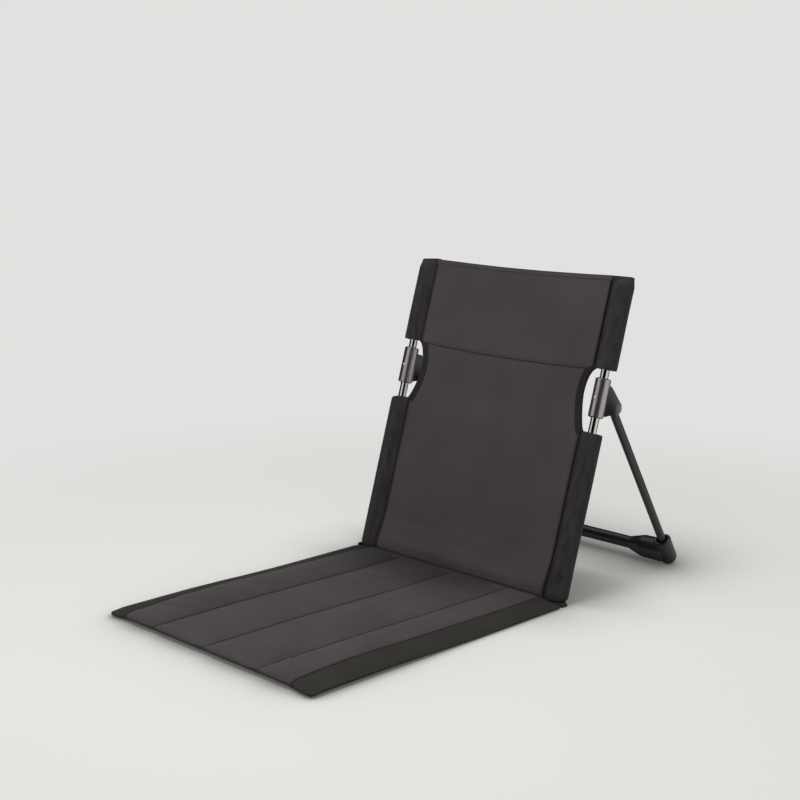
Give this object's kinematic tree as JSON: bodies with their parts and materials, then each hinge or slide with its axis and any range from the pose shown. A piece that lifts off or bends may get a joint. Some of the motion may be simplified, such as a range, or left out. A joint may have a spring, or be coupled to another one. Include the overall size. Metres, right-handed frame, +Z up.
{
  "type": "folding ground chair",
  "caption": "Low folding camping chair: channelled seat pad on the ground, cloth back on two poles and a rear stand that folds on a hub at each pole.",
  "frame": {"origin": "on the ground below the fold line between seat and back, in the chair's middle plane", "axes": "+X to the chair's right as seen from its front, -Y along the seat to its front edge, +Y to the rear stand, +Z up"},
  "size_m": [0.429, 0.7794, 0.4611],
  "materials": {
    "pole_steel": "polished plated steel tube",
    "collar_grey": "satin gunmetal",
    "rivet_steel": "bright steel",
    "leg_black": "satin black powder coat",
    "black_nylon": "moulded nylon, fine satin",
    "foot_nylon": "moulded nylon, fine satin",
    "back_cloth": "tight plain-weave polyester, warm charcoal",
    "sleeve_cloth": "tight plain-weave polyester, near black",
    "seat_cloth": "tight plain-weave polyester, charcoal",
    "band_cloth": "tight plain-weave polyester, dark edge band"
  },
  "bodies": {
    "back_frame": {"left_pole": "pole_steel", "right_pole": "pole_steel", "left_pole_cap": "black_nylon", "right_pole_cap": "black_nylon", "left_pole_foot": "black_nylon", "right_pole_foot": "black_nylon", "left_collar": "collar_grey", "right_collar": "collar_grey", "left_hub_bracket": "black_nylon", "right_hub_bracket": "black_nylon", "left_hub_rivet": "rivet_steel", "right_hub_rivet": "rivet_steel", "left_pivot_pin": "rivet_steel", "right_pivot_pin": "rivet_steel", "back_panel": "back_cloth", "head_panel": "back_cloth", "top_hem": "sleeve_cloth", "left_upper_sleeve": "sleeve_cloth", "right_upper_sleeve": "sleeve_cloth", "left_lower_sleeve": "sleeve_cloth", "right_lower_sleeve": "sleeve_cloth", "left_cutout_binding": "sleeve_cloth", "right_cutout_binding": "sleeve_cloth", "left_foot_pocket": "sleeve_cloth", "right_foot_pocket": "sleeve_cloth", "fold_strip": "back_cloth"},
    "left_leg_unit": {"left_leg": "leg_black", "left_leg_eye": "black_nylon", "left_leg_tip": "black_nylon"},
    "right_leg_unit": {"right_leg": "leg_black", "right_leg_eye": "black_nylon", "right_leg_tip": "black_nylon"},
    "ground_bar": {"crossbar": "leg_black", "left_foot": "foot_nylon", "right_foot": "foot_nylon"},
    "seat": {"seat_underside": "band_cloth", "seat_pad_far_left": "seat_cloth", "seat_pad_left": "seat_cloth", "seat_pad_right": "seat_cloth", "seat_pad_far_right": "seat_cloth", "left_seat_band": "band_cloth", "right_seat_band": "band_cloth", "front_hem": "band_cloth", "rear_hem": "band_cloth"}
  },
  "joints": [
    {"name": "stand_fold", "type": "hinge", "parent": "back_frame", "child": "right_leg_unit", "pos_m": [0.194, 0.1142, 0.27775], "axis": [-1, 0, 0], "range_deg": [0, 48]},
    {"name": "left_leg_fold", "type": "hinge", "parent": "back_frame", "child": "left_leg_unit", "pos_m": [-0.194, 0.1142, 0.27775], "axis": [-1, 0, 0], "range_deg": [0, 48]},
    {"name": "ground_bar_pull", "type": "slide", "parent": "right_leg_unit", "child": "ground_bar", "axis": [0, 0.521, -0.8536], "range_m": [0, 0.03]},
    {"name": "seat_fold", "type": "hinge", "parent": "back_frame", "child": "seat", "pos_m": [0, -0.013, 0.009], "axis": [-1, 0, 0], "range_deg": [0, 104]}
  ],
  "couplings": [
    {"joint": "left_leg_fold", "follows": "stand_fold", "ratio": 1}
  ]
}
